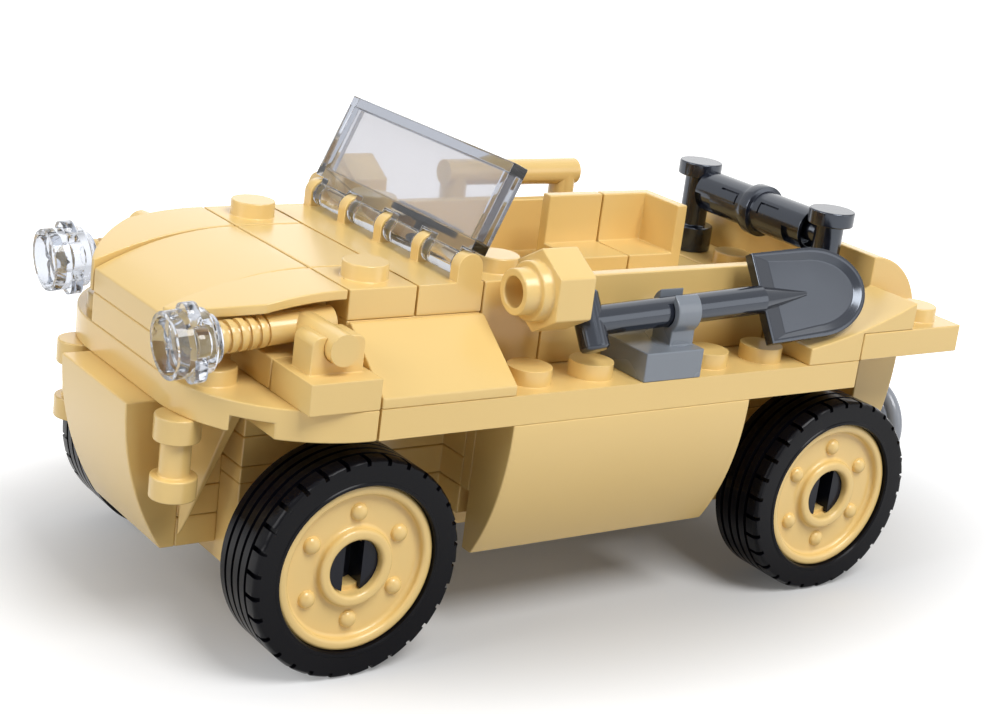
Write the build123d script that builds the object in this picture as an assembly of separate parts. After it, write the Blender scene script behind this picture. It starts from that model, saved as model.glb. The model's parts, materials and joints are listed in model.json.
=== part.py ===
"""Brick-built toy amphibious army car, in millimetres.

The layout is counted in studs: u runs rearward from the front end of the side decks,
v runs from the car's left outer edge to its right one, z is up from the decks' underside.
The finished frame has +X forward, +Y to the car's left, +Z up and the ground at zero.
"""

import os

from build123d import *

os.makedirs("parts", exist_ok=True)

# brick system, in mm
PITCH = 8.0             # one stud to the next
PLATE = 3.2             # height of a plate
STUD_R = 2.4            # stud radius
STUD_H = 1.7            # stud height
SEAM = 0.1              # each piece is this much inside its grid cell
PANEL = 1.5             # thickness of a thin panel wall
BAR_R = 1.6             # radius of a bar that a clip can hold

# overall layout, in studs
WIDTH = 6.0             # over the side decks
DECK_LEN = 8.0          # side decks, and from axle to axle
NOSE_LEN = 2.0          # round-cornered plate ahead of the decks
TAIL_LEN = 2.0          # rear plate behind the decks
NOTCH_LEN = 0.42        # notches under the nose plate's round corners
NOTCH_V = 1.3
NOTCH_U = 0.39          # and how far they start behind its front edge
HULL_IN = 1.0           # upper hull in from the deck edge
LOWER_IN = 1.5          # lower hull in from the deck edge
HOOD_IN = 2.0           # hood centre and bow in from the deck edge
SKIRT_IN = 2.0          # skirts in from the ends of the decks
CABIN_U = 3.0           # front of the side panels
SEAT_LEN = 2.0
SEAT_BACK = 9.0         # height of the seat's walls, in mm

# wheels, in mm
TYRE_R = 11.65
TYRE_WALL = 2.8         # height of the tyre over the rim
TYRE_W = 7.4
TYRE_EDGE = 0.8         # broken outer edge of the tread
WHEEL_IN = 0.55         # outer tyre wall in from the deck edge
AXLE_OUT = 0.01         # axles out from the decks' ends, in studs
WHEEL_GAP = 2.1         # tyre to the deck above it
RIM_FACE = 0.5          # rim face inside the tyre wall
RIM_LIP = 1.15
RIM_DISH = 0.9          # depth of the dished face
RIM_WEB = 2.0           # thickness of the dished face
HUB_R = 4.15
PIN_R = 2.4
PIN_PLAY = 0.06         # radial running play of a wheel on its pin
PIN_IN = 0.9            # pin inside its carrier, in studs
PIN_SLOT = 2.1
CUFF_R = 2.95           # counterbore that takes the head of the pin
CUFF_DEPTH = 1.6
HEAD_T = 0.6            # head of the pin
HEAD_PLAY = 0.12        # head clear of the counterbore, all round
PIN_FLOOR = 4.0         # axle above the underside of its carrier

# sideways curved slopes used as bow, stern and skirts
SHELL_H = 16.0
SHELL_T = 6.4           # thickness at the upper end
SHELL_LIP = 1.6         # thickness at the lower end
BOW_OUT = 0.36          # bow front ahead of the nose plate, in studs
STERN_IN = 0.12         # stern's outer face inside the rear plate's end, in studs
STRUT_H = 15.6          # struts beside the bow block, tapering to a point
STRUT_LEN = 0.57        # along the car at the top, in studs
STRUT_BACK = 0.16       # outer edge there, in studs

# slopes and tiles on the decks, in mm
TILE_LIP = 1.1          # outer edge of the leaning side tile
HOOD_LIP = 2.5          # front face of the hood's centre slope
WING_LIP = 3.3          # and of its wings
WING_BEND = 1.1         # wings' edges bend inward this far forward, in studs
WING_TIP = 0.08         # width left at their tips, in studs
EAVE = 3.8              # overhang of the hood wings
EAVE_T = 1.0            # and its thickness
WEDGE_LIP = 2.0         # front edge of the rear wedge
WEDGE_RISE = 6.4        # its height at the rear
WEDGE_SAG = 0.5         # hollow of its top
STERN_LIP = 0.8         # rear edge of the stern deck

# windscreen, in mm
SCREEN_U = 1.76         # hinge axis, in studs
SCREEN_RISE = 1.5       # hinge axis over the scuttle
SCREEN_LEAN = 24.0      # degrees back from upright, as it stands
SCREEN_H = 11.45        # hinge axis to top edge
SCREEN_T = 0.8
SCREEN_DEPTH = 2.0      # frame, front to back
SCREEN_EDGE = 1.1       # frame, across its face
BARREL_R = 1.5
FINGER_W = 1.5
HINGE_GAP = 0.15        # between a finger and a barrel
HINGE_PIN_R = 0.8
HINGE_PLAY = 0.06

# lamps, in mm
LAMP_V = 1.19           # lens axis in from the deck edge, in studs
LAMP_RISE = 2.7         # pivot of its arm over the bracket
LAMP_OUT = 2.32         # lens front ahead of the decks, in studs
LAMP_R = 4.0            # over the petals
LAMP_T = 4.9
PETAL_R = 1.5
CUP_R = 3.3             # round front of the lens
CUP_T = 1.7
CUP_WALL = 0.5
RING_T = 1.0            # round step behind the petals
COLLAR_T = 0.9          # collar that takes the arm
ARM_R = 1.55
ARM_NECK = 1.3          # between the ribs
ARM_DROP = 4.6          # degrees that the arm leans down to the lens
RIBS = 5
RIB_R = 1.62
RIB_STEP = 1.05
CLIP_HALF = 2.9         # half the bracket's length
CLIP_V = (0.3, 0.75)    # its claws across the car, in studs

# pieces on the left deck
HORN_U = 2.08           # front of the hollow stud, in studs
HORN_R = 3.85
HORN_LEN = 7.4
HORN_NECK = 2.9         # stud and collar in front of the hexagon
SHOVEL_V = 0.42         # shaft axis in from the deck edge, in studs
SHOVEL_RISE = 3.45      # shaft axis over the clip's plate
SHOVEL_TILT = 31.0      # blade's turn about the shaft, lower edge outward
SHOVEL_DIP = 2.4        # degrees that the shaft leans down to its handle
BLADE_LEN = 15.6
BLADE_HALF = 5.15
BLADE_T = 1.2
DISH = 0.82             # dished share of the blade's outline
DISH_DEPTH = 0.5
CLIP_WALL = 0.8

# grab rail on the right deck, in studs
RAIL_U = 4.5            # front post
RAIL_LEN = 2.0          # post to post
RAIL_RISE = 11.6        # bar axis over the deck, in mm

# bollards under the nose, in mm
BOLLARD_R = 2.35
BOLLARD_NECK = 1.55
BOLLARD_H = 8.6

# silencer behind the cabin
POST_IN = 1.5           # posts in from the deck edge, in studs
POST_R = 1.7
POST_H = 9.6
POST_HEAD = 2.7         # cap and foot of a post
POST_CAP = 1.8
CAN_RISE = 8.1          # can axis over the rear plate
CAN_R = 2.55

# steering
STEER_U = 2.75          # steering wheel's middle, in studs
STEER_V = 3.45
STEER_RISE = 0.8        # over the cowls, in mm
WHEEL_RING_R = 4.0
COLUMN_R = 0.8
COLUMN_LEAN = 24.0      # degrees back from upright

# stern propeller, in mm
PROP_BACK = 14.2        # behind the stern's outer face
PROP_DROP = 15.4
PROP_R = 6.3
PROP_RIM = 1.7
PROP_RIM_W = 2.0
PROP_T = 3.4
PROP_SHAFT_R = 1.6
PROP_HUB = 1.2
PROP_PLAY = 0.06
BLADE_PITCH = 38.0      # degrees from the propeller's plane

BRICK = 3 * PLATE
TOP = PLATE + BRICK     # height of the upper hull
MIDDLE = WIDTH / 2
HULL_OUT = WIDTH - HULL_IN
LOWER_OUT = WIDTH - LOWER_IN
HOOD_OUT = WIDTH - HOOD_IN
CABIN_END = DECK_LEN - 1
TAIL_END = DECK_LEN + TAIL_LEN
STERN_U = TAIL_END - STERN_IN
BOW_U = -NOSE_LEN - BOW_OUT
SHELL_REACH = SHELL_T / PITCH
RIM_R = TYRE_R - TYRE_WALL
AXLE_Z = -TYRE_R - WHEEL_GAP
CARRIER_LOW = AXLE_Z - PIN_FLOOR
CARRIER_TOP = CARRIER_LOW + BRICK
SCREEN_Z = TOP + SCREEN_RISE
SPAN = (HULL_OUT - HULL_IN) * PITCH
LAMP_Z = 2 * PLATE + LAMP_RISE
SHOVEL_Z = 2 * PLATE + SHOVEL_RISE
AXLES = {"front": -AXLE_OUT, "rear": DECK_LEN + AXLE_OUT}

PARTS = {}


def px(u):
    """Grid u to a length along the car, forward positive."""
    return -u * PITCH


def py(v):
    """Grid v to a distance left of the middle."""
    return (MIDDLE - v) * PITCH


def block(u0, u1, v0, v1, z0, z1):
    """A box between grid lines, drawn in by the seam on its four sides."""
    long = (u1 - u0) * PITCH - 2 * SEAM
    wide = (v1 - v0) * PITCH - 2 * SEAM
    here = Location((px((u0 + u1) / 2), py((v0 + v1) / 2), (z0 + z1) / 2))
    return here * Box(long, wide, z1 - z0)


def stud(u, v, z, height=STUD_H, radius=STUD_R):
    """A round peg standing on height z."""
    foot = (Align.CENTER, Align.CENTER, Align.MIN)
    return Location((px(u), py(v), z)) * Cylinder(radius, height, align=foot)


def rod(a, b, radius):
    """A round bar from point a to point b, in mm."""
    start, way = Vector(*a), Vector(*b) - Vector(*a)
    return extrude(Plane(start, z_dir=way) * Circle(radius), way.length)


def drawn(lines, y0, y1):
    """A closed side profile of lines and arcs in the plane y = 0, drawn out from y0 to y1."""
    face = make_face(lines.edges())
    return Location((0, y0, 0)) * extrude(face, y1 - y0, dir=(0, 1, 0))


def slab(points, y0, y1):
    """A side profile given as (x, z) corners, drawn out from y0 to y1."""
    return drawn(Polyline(*[(x, 0, z) for x, z in points], close=True), y0, y1)


def crowned(high, low, base, y0, y1):
    """A slope with an arc from its high end, level there, to its low end, over a flat base.

    high, low and the corners of base are (x, z); base runs from the low end back to the high one.
    """
    a, b = (high[0], 0, high[1]), (low[0], 0, low[1])
    arc = TangentArc(a, b, tangent=(low[0] - high[0], 0, 0))
    under = Polyline(b, *[(x, 0, z) for x, z in base], a)
    return drawn(arc + under, y0, y1)


def turned(profile, point, axis):
    """A (radius, length) profile turned about an axis through the point."""
    out = Vector(1, 0, 0) if axis[2] else Vector(0, 0, 1)
    frame = Plane(point, x_dir=out, z_dir=out.cross(Vector(*axis)))
    face = make_face(Polyline(*profile, close=True))
    return revolve(frame * face, Axis(point, axis))


def mirrored(shape):
    """The same piece on the car's right side."""
    return mirror(shape, Plane.XZ)


def both(name, shape):
    """Keep a left piece and its right twin as one node of two solids."""
    PARTS[name] = Compound([shape, mirrored(shape)])


def shell(width, place):
    """The sideways curved slope, its depth along local X and its width along local Y."""
    top, lip = (0, 0, 0), (SHELL_T - SHELL_LIP, 0, -SHELL_H)
    outer = TangentArc(top, lip, tangent=(0, 0, -1))
    inner = Polyline(lip, (SHELL_T, 0, -SHELL_H), (SHELL_T, 0, 0), top)
    return place * drawn(outer + inner, SEAM - width / 2, width / 2 - SEAM)


def lower_hull():
    """Keel, axle carriers, hull blocks between the wheels, skirts, bow and stern."""
    keel_top = -SHELL_H + PLATE
    low, far = LOWER_IN, LOWER_OUT
    PARTS["keel"] = block(1, CABIN_END, low, far, -SHELL_H, keel_top)
    for name, axle in AXLES.items():
        mid = min(max(axle, 0), DECK_LEN)
        carrier = block(mid - 1, mid + 1, low, far, CARRIER_LOW, CARRIER_TOP)
        for v0, v1 in ((low - 0.1, low + PIN_IN), (far - PIN_IN, far + 0.1)):
            carrier -= rod((px(axle), py(v0), AXLE_Z), (px(axle), py(v1), AXLE_Z), PIN_R)
        PARTS["axle_carrier_" + name] = carrier
    PARTS["hull_front"] = block(-1, 1, low, far, CARRIER_TOP, 0)
    middle = block(1, CABIN_END, low, far, keel_top, 0)
    PARTS["hull_middle"] = middle + block(SKIRT_IN, DECK_LEN - SKIRT_IN, HULL_IN, HULL_OUT, keel_top, 0)
    head, tail = px(CABIN_END) - SEAM, px(STERN_U - SHELL_REACH)
    ends = [(head, CARRIER_TOP), (tail, CARRIER_TOP), (tail, 0), (head, 0)]
    PARTS["hull_rear"] = slab(ends, py(far) + SEAM, py(low) - SEAM)
    side_len = DECK_LEN - 2 * SKIRT_IN
    both("skirts", shell(side_len * PITCH, Location((px(DECK_LEN / 2), py(0) - SEAM, 0), (0, 0, -90))))
    fore, aft = px(SKIRT_IN) - SEAM, px(DECK_LEN - SKIRT_IN) + SEAM
    hanger = [(fore, 0), (aft, 0), (aft, -BRICK), (fore, -BRICK)]
    both("skirt_brackets", slab(hanger, py(HULL_IN) - SEAM, py(SHELL_REACH) - SEAM))
    bow_w = (HOOD_OUT - HOOD_IN) * PITCH
    PARTS["bow"] = shell(bow_w, Location((px(BOW_U), 0, 0), (0, 0, 180)))
    fore, aft = px(BOW_U + SHELL_REACH), px(-1) - SEAM
    ends = [(fore, 0), (aft, 0), (aft, -SHELL_H), (fore, -SHELL_H)]
    PARTS["bow_block"] = slab(ends, SEAM - bow_w / 2, bow_w / 2 - SEAM)
    PARTS["stern"] = shell(SPAN, Location((px(STERN_U), 0, 0)))
    aft, inner, outer = px(-1) - SEAM, py(HOOD_IN) + SEAM, py(LOWER_IN) - SEAM
    toe = (aft + STRUT_LEN * PITCH, inner, -STRUT_H)
    top = [(toe[0], inner, 0), (aft + STRUT_BACK * PITCH, outer, 0), (aft, outer, 0), (aft, inner, 0)]
    sides = [make_face(Polyline(*top, close=True))]
    for i in range(4):
        sides.append(make_face(Polyline(toe, top[i - 1], top[i], close=True)))
    both("nose_struts", Solid(Shell(sides)))


def bollards():
    """The two bobbins that hang under the nose plate beside the bow."""
    r, neck, h = BOLLARD_R, BOLLARD_NECK, BOLLARD_H
    profile = [(0, 0), (r, 0), (r, -0.3 * h), (neck, -0.3 * h)]
    profile += [(neck, -0.73 * h), (r, -0.73 * h), (r, -h), (0, -h)]
    both("bollards", turned(profile, (px(0.1 - NOSE_LEN), py(HOOD_IN - 0.48), 0), (0, 0, 1)))


def decks():
    """Nose plate, side decks, rear plate and the slopes on the side decks."""
    nose = block(-NOSE_LEN, 0, 0, WIDTH, 0, PLATE)
    corners = nose.edges().filter_by(Axis.Z).sort_by(Axis.X)[-2:]
    nose = fillet(corners, NOSE_LEN * PITCH - 4 * SEAM)
    for v in (HOOD_IN - 0.5, HOOD_OUT + 0.5):
        nose += stud(0.5 - NOSE_LEN, v, PLATE)
    for v in (0, WIDTH - NOTCH_V):
        nose -= block(NOTCH_U - NOSE_LEN, NOTCH_U - NOSE_LEN + NOTCH_LEN, v, v + NOTCH_V, -PLATE, PLATE / 2)
    PARTS["nose_plate"] = nose
    deck = block(0, DECK_LEN, 0, 1, 0, PLATE)
    right = mirrored(deck)
    for i in range(2, int(CABIN_END)):
        u = i + 0.5
        if abs(u + 0.25 - clip_u()) > 0.8:
            deck += stud(u, 0.5, PLATE)
        if min(abs(u - RAIL_U), abs(u - RAIL_U - RAIL_LEN)) > 0.55:
            right += stud(u, WIDTH - 0.5, PLATE)
    PARTS["side_decks"] = Compound([deck, right])
    tail = block(DECK_LEN, TAIL_END, 0, WIDTH, PLATE, 2 * PLATE)
    for u, v in ((TAIL_END - 0.5, 0.5), (DECK_LEN + 0.5, POST_IN + 1)):
        tail += stud(u, v, 2 * PLATE) + stud(u, WIDTH - v, 2 * PLATE)
    PARTS["tail_plate"] = tail
    PARTS["tail_filler"] = block(DECK_LEN, DECK_LEN + 1, LOWER_IN, LOWER_OUT, 0, PLATE)
    y0, y1 = py(0) - SEAM, py(1) + SEAM
    high = 3 * PLATE
    leaning = [(y0, PLATE), (y0, PLATE + TILE_LIP), (y1 + 0.6, high), (y1, high), (y1, PLATE)]
    face = make_face(Polyline(*[(px(2) + SEAM, y, z) for y, z in leaning], close=True))
    both("side_tiles", extrude(face, 2 * PITCH - 2 * SEAM, dir=(1, 0, 0)))
    fore, step, aft = px(CABIN_END) - SEAM, px(DECK_LEN), px(DECK_LEN + 1) + SEAM
    high, low = (aft, y1, PLATE + WEDGE_RISE), (fore, y1, PLATE + WEDGE_LIP)
    sag = ((fore + aft) / 2, y1, PLATE + (WEDGE_RISE + WEDGE_LIP) / 2 - WEDGE_SAG)
    base = [(fore, PLATE), (step, PLATE), (step, 2 * PLATE), (aft, 2 * PLATE)]
    edge = Polyline(low, *[(x, y1, z) for x, z in base], high)
    face = make_face(edge + ThreePointArc(high, sag, low))
    both("rear_wedges", extrude(face, y0 - y1, dir=(0, 1, 0)))


def hood():
    """Plate, centre slope and the two tapering wedges of the hood."""
    plate = block(-NOSE_LEN, 0, HOOD_IN, HOOD_OUT, PLATE, 2 * PLATE)
    PARTS["hood_plate"] = plate + block(-1, 0, HULL_IN, HULL_OUT, PLATE, 2 * PLATE)
    low = 2 * PLATE
    fore, aft = px(-NOSE_LEN) - SEAM, px(0) + SEAM
    base = [(fore, low), (aft, low)]
    high, lip, brow = (aft, TOP), (fore, low + HOOD_LIP), (fore, low + WING_LIP)
    PARTS["hood_centre"] = crowned(high, lip, base, py(HOOD_OUT) + SEAM, py(HOOD_IN) - SEAM)
    inner, outer = py(HOOD_IN), py(HULL_IN) - SEAM
    wing = crowned(high, brow, base, inner + SEAM, outer)
    bend, tip = (px(-WING_BEND), outer, low), (fore, py(HOOD_IN - WING_TIP), low)
    mid = (px(-(WING_BEND + NOSE_LEN) / 2 - 0.1), (bend[1] + tip[1]) / 2 + 0.2, low)
    edge = Polyline(tip, (fore, inner, low), (aft, inner, low), (aft, outer, low), bend)
    plan = make_face(edge + ThreePointArc(bend, mid, tip))
    under = crowned((aft, TOP - EAVE_T), (fore, low + WING_LIP - EAVE_T), base, outer - EAVE, outer)
    both("hood_wings", (wing & extrude(plan, 2 * BRICK, dir=(0, 0, 1))) - under)


def upper_hull():
    """Scuttle, side panels, cabin floor, seat and stern deck."""
    PARTS["scuttle"] = block(0, 2, HULL_IN, HULL_OUT, PLATE, 3 * PLATE)
    both("scuttle_plates", block(0, 1, HULL_IN, HOOD_IN, 3 * PLATE, TOP) + stud(0.5, HULL_IN + 0.5, TOP))
    PARTS["scuttle_tile"] = block(0, 1, HOOD_IN, HOOD_OUT, 3 * PLATE, TOP)
    both("cowls", block(2, CABIN_U, HULL_IN, HOOD_IN, PLATE, TOP) + stud(2.5, HULL_IN + 0.5, TOP))
    wall = block(CABIN_U, CABIN_END, HULL_IN, HOOD_IN, PLATE, 2 * PLATE)
    fore, aft = px(CABIN_U) - SEAM, px(CABIN_END) + SEAM
    face = py(HULL_IN) - SEAM
    wall += slab([(fore, PLATE), (aft, PLATE), (aft, TOP), (fore, TOP)], face - PANEL, face)
    both("side_panels", wall)
    PARTS["cabin_floor"] = block(2, CABIN_END, HOOD_IN, HOOD_OUT, PLATE, 2 * PLATE)
    PARTS["cabin_base"] = block(0, DECK_LEN, HULL_IN, HULL_OUT, 0, PLATE)
    PARTS["aft_plate"] = block(CABIN_END, DECK_LEN, HULL_IN, HULL_OUT, PLATE, 2 * PLATE)
    floor, back = 2 * PLATE, 2 * PLATE + SEAT_BACK
    split = CABIN_END - SEAT_LEN / 2
    left, right = py(HOOD_OUT - 1) - SEAM, py(HOOD_OUT) + SEAM
    seat = []
    for u0, u1 in ((CABIN_END - SEAT_LEN, split), (split, CABIN_END)):
        fore, aft = px(u0) - SEAM, px(u1) + SEAM
        half = slab([(fore, floor), (aft, floor), (aft, floor + PLATE), (fore, floor + PLATE)], right, left)
        half += slab([(fore, floor), (aft, floor), (aft, back), (fore, back)], right, right + PANEL)
        seat.append(half)
    seat[1] += slab([(aft + PANEL, floor), (aft, floor), (aft, back), (aft + PANEL, back)], right, left)
    PARTS["seat"] = Compound(seat)
    fore, aft = px(DECK_LEN + 1) - SEAM, px(TAIL_END) + SEAM
    low = 2 * PLATE
    base = [(aft, low), (fore, low)]
    y0, y1 = py(HULL_OUT) + SEAM, py(HULL_IN) - SEAM
    PARTS["stern_deck"] = crowned((fore, TOP), (aft, low + STERN_LIP), base, y0, y1)


def windscreen():
    """Hinge base with its fingers, and the framed pane that swings on it."""
    base = block(1, 2, HULL_IN, HULL_OUT, 3 * PLATE, TOP)
    step = (SPAN - 2 * SEAM - FINGER_W) / 4
    x = px(SCREEN_U)
    level = Rotation(90, 0, 0)
    for i in range(5):
        y = (2 - i) * step
        base += Location((x, y, SCREEN_Z)) * level * Cylinder(BARREL_R, FINGER_W)
        base += Location((x, y, TOP + SCREEN_RISE / 2)) * Box(2 * BARREL_R, FINGER_W, SCREEN_RISE)
    deep = SPAN / 2 - SEAM - FINGER_W / 2
    PARTS["screen_hinge"] = base - rod((x, -deep, SCREEN_Z), (x, deep, SCREEN_Z), HINGE_PIN_R + HINGE_PLAY)
    edge = BARREL_R + HINGE_GAP
    barrel_w = step - FINGER_W - 2 * HINGE_GAP
    seat = (Align.CENTER, Align.CENTER, Align.MIN)
    wide, high = SPAN - 2 * SEAM, SCREEN_H - edge
    pane = Location((0, 0, edge)) * Box(SCREEN_DEPTH, wide, high, align=seat)
    pocket = Box(SCREEN_DEPTH, wide - 2 * SCREEN_EDGE, high - 2 * SCREEN_EDGE, align=seat)
    for side in (-1, 1):
        away = side * (SCREEN_DEPTH + SCREEN_T) / 2
        pane -= Location((away, 0, edge + SCREEN_EDGE)) * pocket
    for i in range(4):
        y = (1.5 - i) * step
        pane += Location((0, y, 0)) * level * Cylinder(BARREL_R - 0.1, barrel_w)
        pane += Location((0, y, 0)) * Box(SCREEN_DEPTH, barrel_w, edge + 0.5, align=seat)
    pane += level * Cylinder(HINGE_PIN_R, 2 * (deep - HINGE_GAP))
    PARTS["windscreen"] = Location((x, 0, SCREEN_Z), (0, -SCREEN_LEAN, 0)) * pane


def lamps():
    """Clip brackets on the nose plate, ribbed T-bars and the clear petalled lenses."""
    x, y, z = px(-0.5), py(LAMP_V), LAMP_Z
    out, inner = py(CLIP_V[0]), py(CLIP_V[1])
    high = LAMP_RISE + 0.65 * BAR_R
    clip = Location((x, (out + inner) / 2, 2 * PLATE + high / 2)) * Box(2 * CLIP_HALF, out - inner, high)
    clip = fillet(clip.edges().filter_by(Axis.Y).group_by(Axis.Z)[-1], 0.9)
    clip -= rod((x, inner - 1, z), (x, out + 1, z), BAR_R + 0.02)
    clip -= Location((x, (out + inner) / 2, z + BAR_R)) * Box(1.7 * BAR_R, 2 * (out - inner), 2 * BAR_R)
    both("lamp_brackets", block(-1, 0, 0, 1, PLATE, 2 * PLATE) + clip)
    rear, front = px(-LAMP_OUT) - LAMP_T, px(-LAMP_OUT)
    ribbed = rear - (RIBS + 0.2) * RIB_STEP
    arm = rod((px(-0.12), y, z), (ribbed, y, z), ARM_R) + rod((x, y, z), (x, py(0.15), z), BAR_R)
    arm += rod((ribbed, y, z), (rear, y, z), ARM_NECK)
    for i in range(RIBS):
        rib = rear - (i + 0.3) * RIB_STEP
        arm += rod((rib, y, z), (rib - 0.6 * RIB_STEP, y, z), RIB_R)
    droop = Location((x, y, z)) * Rotation(0, ARM_DROP, 0) * Location((-x, -y, -z))
    both("lamp_arms", droop * arm)
    petals = Circle(LAMP_R - PETAL_R)
    for spot in PolarLocations(LAMP_R - PETAL_R, 5):
        petals += spot * Circle(PETAL_R)
    collar, cup = rear + COLLAR_T, front - CUP_T
    lens = rod((rear, y, z), (collar, y, z), ARM_R + 0.9)
    lens += rod((collar, y, z), (collar + RING_T, y, z), CUP_R - 0.1)
    collar += RING_T
    lens += extrude(Plane((collar, y, z), x_dir=(0, 0, 1), z_dir=(1, 0, 0)) * petals, cup - collar)
    lens += rod((cup, y, z), (front, y, z), CUP_R)
    lens -= rod((cup + CUP_WALL, y, z), (front, y, z), CUP_R - CUP_WALL)
    both("lamps", droop * lens)


def horn():
    """Hexagonal side piece with a hollow stud facing forward, beside the windscreen."""
    y, z = py(HULL_IN) + HORN_R + 0.17, TOP + SEAM
    front = px(HORN_U)
    six = RegularPolygon(HORN_R, 6, major_radius=False, rotation=0)
    body = Location((front - HORN_LEN, y, z), (0, 90, 0)) * extrude(six, HORN_LEN - HORN_NECK)
    collar = rod((front - HORN_NECK, y, z), (front - STUD_H, y, z), STUD_R + 0.7)
    snout = rod((front - STUD_H, y, z), (front, y, z), STUD_R)
    both("horns", body + collar + snout - rod((front - HORN_LEN / 2, y, z), (front + 1, y, z), BAR_R))


def handle_u():
    """The shovel's T-handle, just behind the horn, in studs."""
    return HORN_U + (HORN_LEN + 2 * BAR_R - 0.84) / PITCH


def blade_u():
    """The shoulder of the shovel's blade, whose tip lies over the end of the deck, in studs."""
    return DECK_LEN + 0.18 - BLADE_LEN / PITCH


def clip_u():
    """The clip's ring, midway along the shovel's shaft, in studs."""
    return (handle_u() + blade_u()) / 2


def tools():
    """Clip plate and the shovel it holds."""
    y, z = py(SHOVEL_V), SHOVEL_Z
    u = clip_u()
    x = px(u)
    neck = SHOVEL_RISE - BAR_R
    grip = 2 * BAR_R
    clip = block(u - 0.75, u + 0.25, 0, 1, PLATE, 2 * PLATE)
    clip += Location((x, y, 2 * PLATE + neck / 2)) * Box(grip, grip, neck)
    ring = rod((x - BAR_R, y, z), (x + BAR_R, y, z), BAR_R + CLIP_WALL)
    clip += ring - Location((x, y, z + grip)) * Box(2 * grip, 1.4 * BAR_R, 2 * grip)
    dip = Location((x, y, z)) * Rotation(0, SHOVEL_DIP, 0) * Rotation(SHOVEL_TILT, 0, 0)
    PARTS["tool_clip"] = clip - dip * rod((-grip, 0, 0), (grip, 0, 0), BAR_R + 0.01)
    top, tip = px(blade_u()), px(blade_u()) - BLADE_LEN
    head = px(handle_u())
    spade = rod((head, 0, 0), (top - BLADE_LEN / 2, 0, 0), BAR_R)
    spade += rod((head, 0, -2 * BAR_R), (head, 0, 2 * BAR_R), BAR_R)
    half = [(0, 0.86), (0.12, 0.95), (0.4, 1), (0.62, 0.97), (0.8, 0.84), (0.92, 0.58), (0.98, 0.3), (1, 0.1)]
    left = [(top - BLADE_LEN * a, BLADE_HALF * b) for a, b in half]
    right = [(xx, -h) for xx, h in reversed(left)]
    middle = top - BLADE_LEN / 2
    pocket = [(middle + (xx - middle) * DISH, h * DISH) for xx, h in left + right]
    blade = slab(left + right, -BLADE_T / 2, BLADE_T / 2) - slab(pocket, BLADE_T / 2 - DISH_DEPTH, BLADE_T)
    spade += blade
    PARTS["shovel"] = dip * Location((-x, 0, 0)) * spade


def rail():
    """Grab rail that stands on the right deck."""
    y, low, high = py(WIDTH - 0.5), PLATE, PLATE + RAIL_RISE
    fore, aft = px(RAIL_U), px(RAIL_U + RAIL_LEN)
    bar = rod((fore + BAR_R, y, high), (aft - BAR_R, y, high), BAR_R)
    for x in (fore, aft):
        bar += rod((x, y, low), (x, y, high), BAR_R)
    PARTS["grab_rail"] = bar


def muffler():
    """The black silencer on its two posts behind the cabin."""
    u, low = DECK_LEN + 0.45, 2 * PLATE
    x, z = px(u), low + CAN_RISE
    post = stud(u, POST_IN, low, PLATE, POST_HEAD) + stud(u, POST_IN, low, POST_H, POST_R)
    post += stud(u, POST_IN, low + POST_H, POST_CAP, POST_HEAD)
    both("muffler_posts", post)
    end = py(POST_IN) - POST_R - 0.8
    can = rod((x, -end, z), (x, end, z), CAN_R)
    can += rod((x, -0.8, z), (x, 0.8, z), CAN_R + 0.6)
    can += rod((x, -end - 1.6, z), (x, end + 1.6, z), CAN_R / 2)
    PARTS["muffler"] = can - post - mirrored(post)


def controls():
    """Steering column and wheel as one piece."""
    x, y, z = px(STEER_U), py(STEER_V), TOP + STEER_RISE
    turn = Location((x, y, z)) * Rotation(0, -COLUMN_LEAN, 0)
    long = z - 2 * PLATE + 0.8
    column = Cylinder(COLUMN_R, long, align=(Align.CENTER, Align.CENTER, Align.MAX))
    r, half = WHEEL_RING_R, 0.6
    ring = turned([(r - 1.1, -half), (r, -half), (r, half), (r - 1.1, half)], (0, 0, 0), (0, 0, 1))
    hub = Cylinder(1.4, 1.4)
    spokes = Box(1.2, 2 * r - 1, 1.0)
    PARTS["steering"] = turn * (ring + hub + spokes + column) - PARTS["cabin_floor"]


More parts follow.
